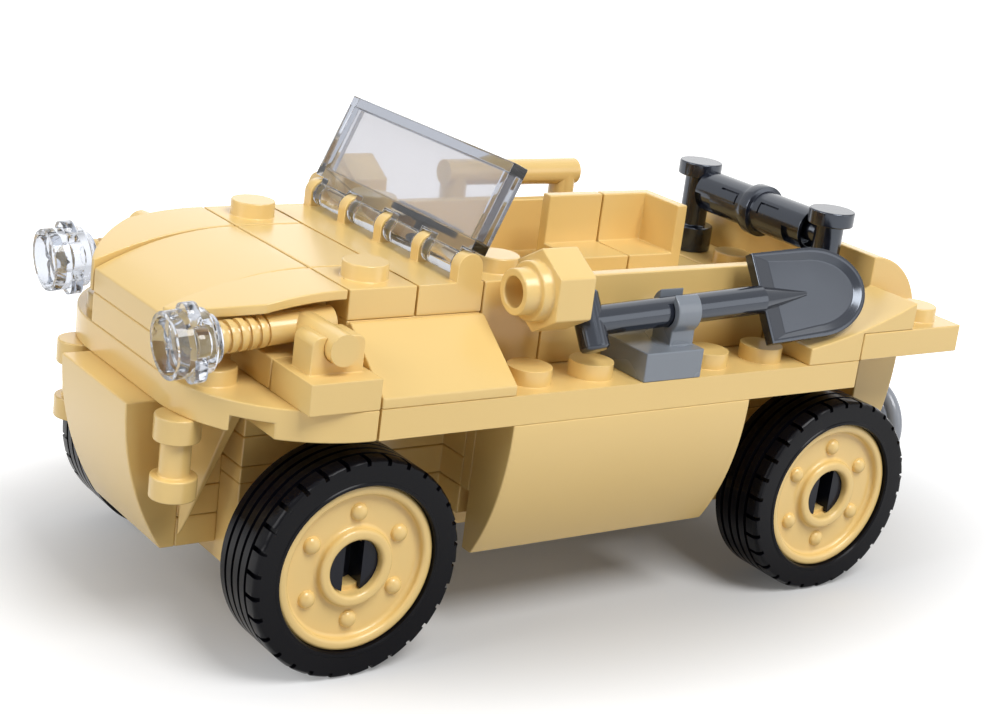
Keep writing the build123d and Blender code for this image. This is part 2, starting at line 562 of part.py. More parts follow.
def wheels():
    """Four wheels, each a tyre on a rim, and the slotted pins they turn on."""
    y_out = py(0) - WHEEL_IN
    wide = TYRE_W
    tyre = [(RIM_R, 0), (TYRE_R - TYRE_EDGE, 0), (TYRE_R, -TYRE_EDGE), (TYRE_R, -wide), (RIM_R, -wide)]
    bore = PIN_R + PIN_PLAY
    lip, dish = RIM_R - RIM_LIP, -RIM_FACE - RIM_DISH
    web, cuff = dish - RIM_WEB, -RIM_FACE - CUFF_DEPTH
    rim = [(bore, cuff), (CUFF_R, cuff), (CUFF_R, -RIM_FACE), (HUB_R, -RIM_FACE), (HUB_R, dish)]
    rim += [(lip, dish), (lip, -RIM_FACE), (RIM_R, -RIM_FACE), (RIM_R, -wide), (lip, -wide)]
    rim += [(lip, web), (HUB_R, web), (HUB_R, -wide), (bore, -wide)]
    pins = []
    for end, u in AXLES.items():
        x = px(u)
        for name, profile in (("tyre", tyre), ("rim", rim)):
            piece = turned(profile, (x, y_out, AXLE_Z), (0, 1, 0))
            PARTS[f"{name}_{end}_left"] = piece
            PARTS[f"{name}_{end}_right"] = mirrored(piece)
        seat, foot = y_out + cuff + HEAD_PLAY, py(LOWER_IN) - SEAM
        head = seat + HEAD_T
        pin = rod((x, py(LOWER_IN + PIN_IN), AXLE_Z), (x, head, AXLE_Z), PIN_R)
        pin += rod((x, seat, AXLE_Z), (x, head, AXLE_Z), CUFF_R - HEAD_PLAY)
        pin -= Location((x, head, AXLE_Z)) * Box(PIN_SLOT, 2 * PIN_R, 3 * CUFF_R)
        pin += rod((x, y_out - wide - 0.4, AXLE_Z), (x, foot, AXLE_Z), PIN_R + 0.6)
        pins += [pin, mirrored(pin)]
    PARTS["axle_pins"] = Compound(pins)


def propeller():
    """Stern arm and the rimmed propeller on its shaft."""
    stern, x, z = px(STERN_U) - 0.02, px(STERN_U) - PROP_BACK, -PROP_DROP
    half = PROP_T / 2
    near = x + half + 0.4
    boss = PROP_SHAFT_R + 1.2
    arm = [(stern, -0.5), (stern, -4.0), (near + 4.0, z - boss)]
    arm += [(near, z - boss), (near, z + boss), (near + 4.5, -0.5)]
    shaft = rod((near, 0, z), (x - half - 0.6, 0, z), PROP_SHAFT_R)
    PARTS["prop_arm"] = slab(arm, -BAR_R, BAR_R) + shaft
    hub, bore, inner = PROP_SHAFT_R + PROP_HUB, PROP_SHAFT_R + PROP_PLAY, PROP_R - PROP_RIM
    screw = turned([(bore, -half), (hub, -half), (hub, half), (bore, half)], (x, 0, z), (1, 0, 0))
    w = PROP_RIM_W / 2
    screw += turned([(inner, -w), (PROP_R, -w), (PROP_R, w), (inner, w)], (x, 0, z), (1, 0, 0))
    for i in range(3):
        blade = Rotation(0, 0, BLADE_PITCH) * Box(0.8, PROP_T + 0.6, inner - hub + 1.0)
        screw += Location((x, 0, z)) * Rotation(120 * i, 0, 0) * Location((0, 0, (hub + inner) / 2)) * blade
    PARTS["propeller"] = screw


for make in (lower_hull, bollards, decks, hood, upper_hull, windscreen, lamps, horn,
             tools, rail, muffler, controls, wheels, propeller):
    make()

whole = Compound(list(PARTS.values())).bounding_box()
to_frame = Location((-(whole.min.X + whole.max.X) / 2, -(whole.min.Y + whole.max.Y) / 2, -whole.min.Z))
for name, shape in PARTS.items():
    export_step(to_frame * shape, f"parts/{name}.step")
print("shift", to_frame.position)
print("size", whole.size)
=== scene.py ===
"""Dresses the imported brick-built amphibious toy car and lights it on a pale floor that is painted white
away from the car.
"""

import json
import math

import bmesh
import bpy
from bpy.props import FloatProperty, FloatVectorProperty, IntProperty, PointerProperty
from mathutils import Matrix, Vector


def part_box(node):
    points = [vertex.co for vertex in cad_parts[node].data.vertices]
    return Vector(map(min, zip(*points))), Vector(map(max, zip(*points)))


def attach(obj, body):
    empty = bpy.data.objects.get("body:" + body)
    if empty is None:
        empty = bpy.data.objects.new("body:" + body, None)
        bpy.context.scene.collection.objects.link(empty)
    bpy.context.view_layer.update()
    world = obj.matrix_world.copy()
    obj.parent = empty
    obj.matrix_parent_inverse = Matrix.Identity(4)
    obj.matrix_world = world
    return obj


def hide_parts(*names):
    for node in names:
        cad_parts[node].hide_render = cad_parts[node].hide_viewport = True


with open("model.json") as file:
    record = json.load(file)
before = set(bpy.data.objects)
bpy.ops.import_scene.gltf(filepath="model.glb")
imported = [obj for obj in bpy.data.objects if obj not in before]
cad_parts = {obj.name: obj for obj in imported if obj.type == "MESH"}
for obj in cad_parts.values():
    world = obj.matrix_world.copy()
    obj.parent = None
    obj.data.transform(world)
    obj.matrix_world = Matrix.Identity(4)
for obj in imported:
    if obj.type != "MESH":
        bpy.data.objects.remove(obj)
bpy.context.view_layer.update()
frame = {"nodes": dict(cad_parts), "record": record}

bl_info = {
    "name": "Toy amphibious car",
    "version": (1, 0, 0),
    "blender": (4, 5, 0),
    "location": "View3D > Sidebar > Toy car",
    "description": "Rounds, grooves and colours the bricks of a toy amphibious car and sets its stage",
    "category": "Object",
}

MM = 0.001
WELD = 1e-6
FINE_EDGE = 0.15 * MM
PITCH = 8 * MM
PLATE = 3.2 * MM
HULL_PLATES = 6
DECK_SETBACK = 0.1 * MM
DECK_LOW, DECK_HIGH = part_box("side_decks")
ORIGIN = Vector((DECK_HIGH.x + DECK_SETBACK, 3 * PITCH, DECK_LOW.z))

TAN_NODES = {
    "hull": ["aft_plate", "axle_carrier_front", "axle_carrier_rear", "bow", "bow_block", "cabin_base",
             "cabin_floor", "hull_front", "hull_middle", "hull_rear", "keel", "nose_struts",
             "skirt_brackets", "skirts", "stern", "stern_deck", "tail_filler", "bollards"],
    "decks": ["nose_plate", "side_decks", "tail_plate", "side_tiles", "rear_wedges"],
    "hood": ["hood_centre", "hood_plate", "hood_wings", "scuttle", "scuttle_plates", "scuttle_tile",
             "screen_hinge", "cowls", "side_panels", "seat", "horns", "grab_rail"],
}
STACKED = ("bow_block", "hull_front", "hull_middle", "hull_rear")


def at(u, v, z):
    """A point given in studs back from the decks' front, studs from the left edge and mm up."""
    return ORIGIN + Vector((-u * PITCH, -v * PITCH, z * MM))


SHOVEL_TILT = math.radians(2.4)
SHOVEL_LEAN = math.radians(31)
SHOVEL_PLACE = (Matrix.Translation(at(4.765, 0.42, 9.85)) @ Matrix.Rotation(SHOVEL_TILT, 4, "Y")
                @ Matrix.Rotation(SHOVEL_LEAN, 4, "X"))
MUFFLER_MIDDLE = at(8.45, 3, 14.5)
SCREEN_AXLE = at(1.76, 3, 14.3)
KNUCKLE_REACH = 3.4 * MM

# Tread of a tyre, measured in from its outer wall and down from its radius.
SHOULDER_DROP = 0.62 * MM
SHOULDER_WIDTH = 1.75 * MM
RIB_PITCH = 1.35 * MM
GROOVES = 4
LUG_STEPS = 5
BOLTS = 6

# Moulded plastic: scales of its two noises, the part of their range in use, and the ripple's height.
MARKS_SCALE = 28
WEAR_SCALE = 90
NOISE_LOW = 0.3
NOISE_HIGH = 0.7
RIPPLE = 0.1 * MM

# Soft lights: name, place and size in metres. The stage settings hold their powers by the same names.
LIGHT_TARGET = Vector((0, 0, 0.02))
LIGHTS = (("key", (-0.02, 0.32, 0.50), 0.28),
          ("front", (0.55, -0.05, 0.30), 0.35),
          ("fill", (-0.30, 0.42, 0.18), 0.3),
          ("behind", (-0.33, -0.44, 0.36), 0.75))
FLOOR_HALF = 3.0
# Painted light on the floor: an emission seen by camera, mirror and through-clear rays. It is weak in an
# oval round the car, where the real shadow shows, and rises to white further out, a painted fade from shade
# to white. These set the oval's stretch and the weak level near the car.
PAINTED_SHADE_STRETCH = (0.62, 1, 1)
PAINTED_LIGHT_NEAR_CAR = 0.05


def body_of(node):
    """The CAD body that a node belongs to."""
    for body, members in frame["record"]["behaviour"]["bodies"].items():
        if node in members:
            return body
    raise RuntimeError("no body holds " + node)


def node_mesh(node):
    """A bmesh of a CAD node, welded, with its flat faces joined."""
    bm = bmesh.new()
    bm.from_mesh(frame["nodes"][node].data)
    bmesh.ops.remove_doubles(bm, verts=bm.verts, dist=2 * WELD)
    bmesh.ops.dissolve_limit(bm, angle_limit=math.radians(0.6), use_dissolve_boundaries=False,
                             verts=bm.verts, edges=bm.edges, delimit={"NORMAL"})
    return bm


def round_edges(bm, size, segments=2, angle=32, keep=None):
    """Rolls every edge sharper than the angle."""
    edges = []
    for edge in bm.edges:
        if len(edge.link_faces) == 2 and edge.calc_face_angle(0) > math.radians(angle):
            if keep is None or keep(edge):
                edges.append(edge)
    bmesh.ops.bevel(bm, geom=edges, offset=size, offset_type="OFFSET", segments=segments, profile=0.5,
                    affect="EDGES", clamp_overlap=True, loop_slide=True, material=-1)


def finished(name, bm, body, material, nodes=(), sharp=35):
    """Turns a bmesh into a smooth-shaded piece that rides on a body and stands for CAD nodes."""
    bmesh.ops.dissolve_degenerate(bm, dist=WELD, edges=bm.edges)
    mesh = bpy.data.meshes.new(name)
    bm.to_mesh(mesh)
    bm.free()
    for face in mesh.polygons:
        face.use_smooth = True
    mesh.set_sharp_from_angle(angle=math.radians(sharp))
    mesh.materials.append(material)
    piece = bpy.data.objects.new(name, mesh)
    bpy.context.scene.collection.objects.link(piece)
    flats = piece.modifiers.new("Flat faces", "WEIGHTED_NORMAL")
    flats.mode = "FACE_AREA"
    flats.weight = 80
    flats.keep_sharp = True
    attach(piece, body)
    if nodes:
        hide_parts(*nodes)
    return piece


def dress(node, material, size, segments=2):
    """Replaces a CAD node by the same shape with rolled edges."""
    bm = node_mesh(node)
    round_edges(bm, size, segments)
    return finished(node + "_moulded", bm, body_of(node), material, (node,))


def spun(bm, outline, steps, closed=False):
    """Turns an outline of (radius, along Y) points once round the Y axis and returns its vertices."""
    before = set(bm.verts)
    ring = [bm.verts.new((0, along, radius)) for radius, along in outline]
    edges = [bm.edges.new(pair) for pair in zip(ring, ring[1:])]
    if closed:
        edges.append(bm.edges.new((ring[-1], ring[0])))
    bmesh.ops.spin(bm, geom=ring + edges, cent=(0, 0, 0), axis=(0, 1, 0), angle=2 * math.pi, steps=steps,
                   use_merge=True)
    made = [vert for vert in bm.verts if vert not in before]
    bmesh.ops.remove_doubles(bm, verts=made, dist=WELD)
    made = [vert for vert in bm.verts if vert not in before]
    bmesh.ops.recalc_face_normals(bm, faces=list({face for vert in made for face in vert.link_faces}))
    return made


def sink(bm, faces, depth, hold=0.0):
    """Presses faces of a shape round the Y axis toward that axis, nothing closer to it than the hold."""
    made = bmesh.ops.extrude_face_region(bm, geom=faces)
    bmesh.ops.delete(bm, geom=faces, context="FACES")
    for vert in made["geom"]:
        if isinstance(vert, bmesh.types.BMVert):
            away = math.hypot(vert.co.x, vert.co.z)
            pull = 1 - max(min(depth, away - hold), 0) / away
            vert.co.x *= pull
            vert.co.z *= pull
    bmesh.ops.remove_doubles(bm, verts=bm.verts, dist=WELD)
    bmesh.ops.recalc_face_normals(bm, faces=bm.faces)


def turn_of(point):
    """Degrees round the Y axis from straight up."""
    return math.degrees(math.atan2(point.x, point.z)) % 360


def layered(node, material, size, gap):
    """Replaces a CAD node by the same shape split into plates stacked under the decks."""
    bm = bmesh.new()
    low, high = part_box(node)
    seams = [ORIGIN.z - i * PLATE for i in range(HULL_PLATES)]
    levels = [None] + sorted(z for z in seams if low.z + MM < z < high.z - MM) + [None]
    for bottom, top in zip(levels, levels[1:]):
        slice_ = node_mesh(node)
        for level, side in ((bottom, -1), (top, 1)):
            if level is None:
                continue
            geom = slice_.verts[:] + slice_.edges[:] + slice_.faces[:]
            spot = (0, 0, level - side * gap / 2)
            cut = bmesh.ops.bisect_plane(slice_, geom=geom, dist=WELD / 10, plane_co=spot,
                                         plane_no=(0, 0, side), clear_outer=True)
            rim = [edge for edge in cut["geom_cut"] if isinstance(edge, bmesh.types.BMEdge)]
            bmesh.ops.holes_fill(slice_, edges=rim)
        bmesh.ops.recalc_face_normals(slice_, faces=slice_.faces)
        round_edges(slice_, size)
        layer = bpy.data.meshes.new("layer")
        slice_.to_mesh(layer)
        slice_.free()
        bm.from_mesh(layer)
        bpy.data.meshes.remove(layer)
    return finished(node + "_moulded", bm, body_of(node), material, (node,))


class CarFinish(bpy.types.PropertyGroup):
    """Colours and gloss of the mouldings."""
    tan: FloatVectorProperty(name="Tan", description="Colour of the tan bricks", subtype="COLOR",
                             size=3, min=0, max=1, default=(0.81, 0.57, 0.215))
    black: FloatVectorProperty(name="Black", description="Colour of the black pieces", subtype="COLOR",
                               size=3, min=0, max=1, default=(0.008, 0.0095, 0.017))
    grey: FloatVectorProperty(name="Grey", description="Colour of the shovel's clip", subtype="COLOR",
                              size=3, min=0, max=1, default=(0.20, 0.225, 0.26))
    steel: FloatVectorProperty(name="Pale grey", description="Colour of the propeller", subtype="COLOR",
                               size=3, min=0, max=1, default=(0.26, 0.28, 0.32))
    dark: FloatVectorProperty(name="Dark grey", description="Colour of the steering wheel", subtype="COLOR",
                              size=3, min=0, max=1, default=(0.05, 0.055, 0.06))
    rubber: FloatVectorProperty(name="Rubber", description="Colour of the tyres", subtype="COLOR",
                                size=3, min=0, max=1, default=(0.0035, 0.0035, 0.0055))
    smoke: FloatVectorProperty(name="Smoky clear", description="Tint of the windscreen's frame",
                               subtype="COLOR", size=3, min=0, max=1, default=(0.34, 0.36, 0.41))
    milky: FloatVectorProperty(name="Milky clear", description="Tint of the windscreen's pane",
                               subtype="COLOR", size=3, min=0, max=1, default=(0.70, 0.70, 0.74))
    lens: FloatVectorProperty(name="Lens clear", description="Tint of the lamps and the screen's hinge",
                              subtype="COLOR", size=3, min=0, max=1, default=(0.66, 0.69, 0.75))
    gloss: FloatProperty(name="Roughness", description="Roughness of the glossy bricks", subtype="FACTOR",
                         min=0, max=1, default=0.23)


class CarShape(bpy.types.PropertyGroup):
    """Sizes of the fine detail."""
    edge: FloatProperty(name="Brick edge", description="Rolled edge of the bricks", subtype="DISTANCE",
                        unit="LENGTH", min=0, default=0.18 * MM, precision=5)
    seam: FloatProperty(name="Brick seam", description="Gap between stacked bricks of the hull",
                        subtype="DISTANCE", unit="LENGTH", min=0, default=0.06 * MM, precision=5)
    lugs: IntProperty(name="Tyre lugs", description="Lugs round a tyre's shoulder", min=6, max=60,
                      default=30)
    groove: FloatProperty(name="Tread groove", description="Depth of the grooves round the tread",
                          subtype="DISTANCE", unit="LENGTH", min=0, default=0.5 * MM, precision=5)
    notch: FloatProperty(name="Notch depth", description="Depth of the shoulder notches",
                         subtype="DISTANCE", unit="LENGTH", min=0, default=0.5 * MM, precision=5)
    scallop: FloatProperty(name="Scallop", description="Drop of the shoulder along each lug",
                           subtype="DISTANCE", unit="LENGTH", min=0, default=0.14 * MM, precision=5)
    bolt_ring: FloatProperty(name="Bolt circle", description="Radius of the ring of bolt heads on a rim",
                             subtype="DISTANCE", unit="LENGTH", min=0, default=5.75 * MM, precision=5)
    bolt: FloatProperty(name="Bolt head", description="Radius of a bolt head", subtype="DISTANCE",
                        unit="LENGTH", min=0, default=0.95 * MM, precision=5)


class CarStage(bpy.types.PropertyGroup):
    """Floor, light and camera."""
    focal: FloatProperty(name="Focal length", description="Lens on a 36 mm sensor",
                         subtype="DISTANCE_CAMERA", min=1, default=70.807)
    ahead: FloatProperty(name="Camera ahead", description="Camera in front of the decks' front end",
                         subtype="DISTANCE", unit="LENGTH", default=97.602 * MM, precision=5)
    aside: FloatProperty(name="Camera aside", description="Camera beside the left deck's edge",
                         subtype="DISTANCE", unit="LENGTH", default=148.175 * MM, precision=5)
    up: FloatProperty(name="Camera height", description="Camera above the decks' underside",
                      subtype="DISTANCE", unit="LENGTH", default=65.13 * MM, precision=5)
    tilt: FloatProperty(name="Camera tilt", description="Camera's turn up from straight down",
                        subtype="ANGLE", unit="ROTATION", default=math.radians(72.58458))
    roll: FloatProperty(name="Camera roll", description="Camera's lean to one side",
                        subtype="ANGLE", unit="ROTATION", default=math.radians(-7.10425))
    heading: FloatProperty(name="Camera heading", description="Camera's turn round the upright axis",
                           subtype="ANGLE", unit="ROTATION", default=math.radians(145.46045))
    key: FloatProperty(name="Key light", description="Power of the light high over the left side",
                       subtype="POWER", unit="POWER", min=0, default=2.9)
    front: FloatProperty(name="Front light", description="Power of the light before the bow",
                         subtype="POWER", unit="POWER", min=0, default=1.85)
    behind: FloatProperty(name="Back light", description="Power of the light behind the car",
                          subtype="POWER", unit="POWER", min=0, default=1.15)
    fill: FloatProperty(name="Fill light", description="Power of the low light behind the left side",
                        subtype="POWER", unit="POWER", min=0, default=0.45)
    world: FloatProperty(name="Room light", description="Strength of the even room light", min=0,
                         default=0.07)
    floor: FloatProperty(name="Floor", description="How pale the floor is", subtype="FACTOR", min=0, max=1,
                         default=0.54)
    # Painted light: between these distances from the car, the floor's emission fades in from weak to full
    # white.
    painted_white_from: FloatProperty(name="White from", description="Distance where the floor starts to turn white",
                             subtype="DISTANCE", unit="LENGTH", min=0, default=0.020, precision=4)
    painted_white_at: FloatProperty(name="White at", description="Distance at which the floor is white",
                           subtype="DISTANCE", unit="LENGTH", min=0, default=0.066, precision=4)


def shader_of(material):
    """The surface shader of a material."""
    return material.node_tree.nodes["Principled BSDF"]


def mottled(name, colour, deep, rough, spread, relief):
    """A moulded plastic: two close colours, slightly uneven gloss and a faint ripple."""
    material = bpy.data.materials.new(name)
    material.use_nodes = True
    nodes, links = material.node_tree.nodes, material.node_tree.links
    shader = shader_of(material)
    place = nodes.new("ShaderNodeTexCoord")
    marks = nodes.new("ShaderNodeTexNoise")
    marks.inputs["Scale"].default_value = MARKS_SCALE
    links.new(place.outputs["Object"], marks.inputs["Vector"])
    tint = nodes.new("ShaderNodeValToRGB")
    tint.color_ramp.elements[0].position = NOISE_LOW
    tint.color_ramp.elements[0].color = (*[channel * deep for channel in colour], 1)
    tint.color_ramp.elements[1].position = NOISE_HIGH
    tint.color_ramp.elements[1].color = (*colour, 1)
    links.new(marks.outputs["Fac"], tint.inputs["Fac"])
    links.new(tint.outputs["Color"], shader.inputs["Base Color"])
    wear = nodes.new("ShaderNodeTexNoise")
    wear.inputs["Scale"].default_value = WEAR_SCALE
    links.new(place.outputs["Object"], wear.inputs["Vector"])
    gloss = nodes.new("ShaderNodeMapRange")
    gloss.inputs["From Min"].default_value = NOISE_LOW
    gloss.inputs["From Max"].default_value = NOISE_HIGH
    gloss.inputs["To Min"].default_value = rough - spread
    gloss.inputs["To Max"].default_value = rough + spread
    links.new(wear.outputs["Fac"], gloss.inputs["Value"])
    links.new(gloss.outputs["Result"], shader.inputs["Roughness"])
    bump = nodes.new("ShaderNodeBump")
    bump.inputs["Strength"].default_value = relief
    bump.inputs["Distance"].default_value = RIPPLE
    links.new(wear.outputs["Fac"], bump.inputs["Height"])
    links.new(bump.outputs["Normal"], shader.inputs["Normal"])
    return material


def clear(name, colour, through):
    """A clear plastic; what it does not let through it scatters."""
    material = mottled(name, colour, 0.985, 0.05, 0.02, 0.02)
    shader = shader_of(material)
    shader.inputs["Transmission Weight"].default_value = through
    shader.inputs["IOR"].default_value = 1.49
    return material


def finish(name):
    """The named finish, made the first time it is asked for."""
    made = bpy.data.materials.get(name)
    if made:
        return made
    car = bpy.context.scene.car_finish
    if name == "tan_brick":
        return mottled(name, car.tan, 0.965, car.gloss, 0.03, 0.02)
    if name == "black_brick":
        made = mottled(name, car.black, 0.8, 0.17, 0.03, 0.02)
        shader_of(made).inputs["Specular IOR Level"].default_value = 0.85
        shader_of(made).inputs["Specular Tint"].default_value = (0.80, 0.88, 1.0, 1)
        return made
    # Painted shade: the axle pins get the black plastic made darker and much less glossy, which stands in
    # for the shade deep in the hubs' bores.
    if name == "black_pin":
        made = mottled(name, car.black, 0.6, 0.2, 0.03, 0.02)
        shader_of(made).inputs["Specular IOR Level"].default_value = 0.2
        return made
    if name == "grey_brick":
        return mottled(name, car.grey, 0.93, car.gloss + 0.03, 0.04, 0.03)
    if name == "pale_grey":
        return mottled(name, car.steel, 0.93, car.gloss, 0.04, 0.03)
    if name == "dark_grey":
        return mottled(name, car.dark, 0.88, car.gloss + 0.05, 0.04, 0.03)
    if name == "black_rubber":
        made = mottled(name, car.rubber, 0.7, 0.22, 0.03, 0.03)
        shader_of(made).inputs["Specular IOR Level"].default_value = 0.12
        return made
    if name == "smoky_clear":
        return clear(name, car.smoke, 1.0)
    if name == "milky_clear":
        return clear(name, car.milky, 0.72)
    if name == "lens_clear":
        return clear(name, car.lens, 1.0)
    raise RuntimeError("no finish called " + name)


class CAR_OT_hull(bpy.types.Operator):
    """Rounds the bricks of the hull, bow, stern and skirts"""
    bl_idname = "toycar.hull"
    bl_label = "Hull"

    def execute(self, context):
        shape, tan = context.scene.car_shape, finish("tan_brick")
        for node in TAN_NODES["hull"]:
            if node in STACKED:
                layered(node, tan, shape.edge, shape.seam)
            else:
                dress(node, tan, shape.edge)
        return {"FINISHED"}


class CAR_OT_decks(bpy.types.Operator):
    """Rounds the plates, tiles and slopes of the decks"""
    bl_idname = "toycar.decks"
    bl_label = "Decks"

    def execute(self, context):
        for node in TAN_NODES["decks"]:
            dress(node, finish("tan_brick"), context.scene.car_shape.edge)
        return {"FINISHED"}


class CAR_OT_hood(bpy.types.Operator):
    """Rounds the hood, the scuttle, the cabin walls and the fittings on them"""
    bl_idname = "toycar.hood"
    bl_label = "Hood and cabin"

    def execute(self, context):
        for node in TAN_NODES["hood"]:
            dress(node, finish("tan_brick"), context.scene.car_shape.edge)
        return {"FINISHED"}


class CAR_OT_screen(bpy.types.Operator):
    """Makes the clear windscreen in its frame"""
    bl_idname = "toycar.screen"
    bl_label = "Windscreen"

    def execute(self, context):
        bm = node_mesh("windscreen")
        round_edges(bm, FINE_EDGE, 3)
        pane = sorted(bm.faces, key=lambda face: face.calc_area())[-2:]
        for face in bm.faces:
            middle = face.calc_center_median() - SCREEN_AXLE
            if face in pane:
                face.material_index = 1
            elif math.hypot(middle.x, middle.z) < KNUCKLE_REACH:
                face.material_index = 2
        piece = finished("windscreen_moulded", bm, "windscreen", finish("smoky_clear"),
                         ("windscreen",))
        piece.data.materials.append(finish("milky_clear"))
        piece.data.materials.append(finish("lens_clear"))
        return {"FINISHED"}


class CAR_OT_lamps(bpy.types.Operator):
    """Makes the lamp brackets, the ribbed bars and the clear lenses"""
    bl_idname = "toycar.lamps"
    bl_label = "Lamps"

    def execute(self, context):
        for node in ("lamp_brackets", "lamp_arms"):
            dress(node, finish("tan_brick"), context.scene.car_shape.edge)
        dress("lamps", finish("lens_clear"), FINE_EDGE)
        return {"FINISHED"}


class CAR_OT_tools(bpy.types.Operator):
    """Makes the shovel, its clip, the muffler and the steering wheel"""
    bl_idname = "toycar.tools"
    bl_label = "Tools and muffler"

    def execute(self, context):
        edge = context.scene.car_shape.edge
        self.shovel()
        self.muffler()
        dress("muffler_posts", finish("black_brick"), edge)
        dress("tool_clip", finish("grey_brick"), edge)
        dress("steering", finish("dark_grey"), edge)
        return {"FINISHED"}

    def shovel(self):
        """A dished blade and its tapered socket on a round shaft with a T-handle, lying along X."""
        shoulder, tip, half, thick = -11.72 * MM, -27.32 * MM, 5.15 * MM, 1.2 * MM
        border, slope, dish, heel = 0.55 * MM, 0.8 * MM, 0.55 * MM, 1.6 * MM
        shaft, handle, sides, arc = 1.6 * MM, 6.4 * MM, 40, 32
        taper, socket, overlap = 0.25 * MM, 1.58 * MM, 0.4 * MM
        bm = bmesh.new()
        turn = (shoulder + tip) / 2
        outline = [(shoulder, half)]
        for i in range(arc + 1):
            angle = math.pi * i / arc
            outline.append((turn + (tip - turn) * math.sin(angle), half * math.cos(angle)))
        outline.append((shoulder, -half))
        sheet = bm.faces.new([bm.verts.new((x, -thick / 2, z)) for x, z in outline])
        made = bmesh.ops.extrude_face_region(bm, geom=[sheet])
        front = [item for item in made["geom"] if isinstance(item, bmesh.types.BMFace)][0]
        bmesh.ops.translate(bm, verts=front.verts, vec=(0, thick, 0))
        bmesh.ops.recalc_face_normals(bm, faces=bm.faces)
        bmesh.ops.inset_region(bm, faces=[front], thickness=border)
        bmesh.ops.inset_region(bm, faces=[front], thickness=slope, depth=-dish)
        for vert in front.verts:
            if vert.co.x > shoulder - 2.5 * MM:
                vert.co.x -= heel
        round_edges(bm, 0.12 * MM, 2, 25)
        along = Matrix.Rotation(math.pi / 2, 4, "Y")
        rods = ((shaft, shaft, shoulder, -shoulder),
                (taper, socket, shoulder - 7.0 * MM, shoulder + overlap))
        for low, high, start, end in rods:
            place = Matrix.Translation(((start + end) / 2, 0, 0)) @ along
            bmesh.ops.create_cone(bm, cap_ends=True, segments=sides, radius1=low, radius2=high,
                                  depth=end - start, matrix=place)
        before = set(bm.verts)
        bmesh.ops.create_cone(bm, cap_ends=True, segments=sides, radius1=shaft, radius2=shaft,
                              depth=handle, matrix=Matrix.Translation((-shoulder, 0, 0)))
        grip = {edge for vert in bm.verts if vert not in before for edge in vert.link_edges}
        round_edges(bm, 0.5 * MM, 4, 60, lambda edge: edge in grip)
        bmesh.ops.transform(bm, matrix=SHOVEL_PLACE, verts=bm.verts)
        finished("shovel_moulded", bm, "car_body", finish("black_brick"), ("shovel",))

    def muffler(self):
        """A can with a band round its middle, slots near its ends and a bent slit in each half."""
        pipe, collar, can, band = 1.275, 2.0, 2.55, 3.15
        slot, slit_end, slit_side, slit = 6.6, 5.2, 2.25, 2.0
        half = [(0.0, 11.1), (pipe, 11.1), (pipe, 8.0), (collar, 8.0), (collar, 9.5), (can, 9.5),
                (can, slot), (can, slit_end), (can, slit_side), (can, slit), (can, 0.8), (band, 0.8)]
        outline = half + [(r, -y) for r, y in reversed(half)]
        bm = bmesh.new()
        spun(bm, [(r * MM, y * MM) for r, y in outline], 64)
        round_edges(bm, 0.1 * MM, 2, 40)
        pressed = {"slot": [], "slit": []}
        for face in bm.faces:
            middle = face.calc_center_median()
            away, reach, turn = math.hypot(middle.x, middle.z), abs(middle.y), turn_of(middle)
            if away < 2.4 * MM or abs(face.normal.y) > 0.5:
                continue
            if reach > slot * MM and 92 < turn < 142:
                pressed["slot"].append(face)
            elif slit * MM < reach < slit_end * MM and 50 < turn < 56:
                pressed["slit"].append(face)
            elif slit * MM < reach < slit_side * MM and 50 < turn < 84:
                pressed["slit"].append(face)
        sink(bm, pressed["slot"], 0.5 * MM)
        sink(bm, [face for face in pressed["slit"] if face.is_valid], 0.3 * MM)
        bmesh.ops.translate(bm, verts=bm.verts, vec=MUFFLER_MIDDLE)
        finished("muffler_moulded", bm, "car_body", finish("black_brick"), ("muffler",))


def tyre_outline(radius, inner, width, groove):
    """Section of a tyre: (distance from the axle, distance in from the outer wall)."""
    line = [(inner, 0.2 * MM), (inner + 0.12 * MM, 0.0), (inner + 0.4 * MM, 0.0),
            (inner + 0.5 * MM, 0.1 * MM)]
    line += [(radius - SHOULDER_DROP, 0.05 * MM), (radius - 0.2 * MM, 0.1 * MM),
             (radius - 0.06 * MM, 0.25 * MM), (radius, 0.6 * MM), (radius, SHOULDER_WIDTH)]
    for i in range(GROOVES):
        start = SHOULDER_WIDTH + i * RIB_PITCH
        line += [(radius - groove, start + 0.08 * MM), (radius - groove, start + 0.36 * MM)]
        line += [(radius, start + 0.44 * MM), (radius, start + RIB_PITCH)]
    line[-1] = (radius, width - 0.3 * MM)
    return line + [(radius - 0.3 * MM, width), (inner, width)]


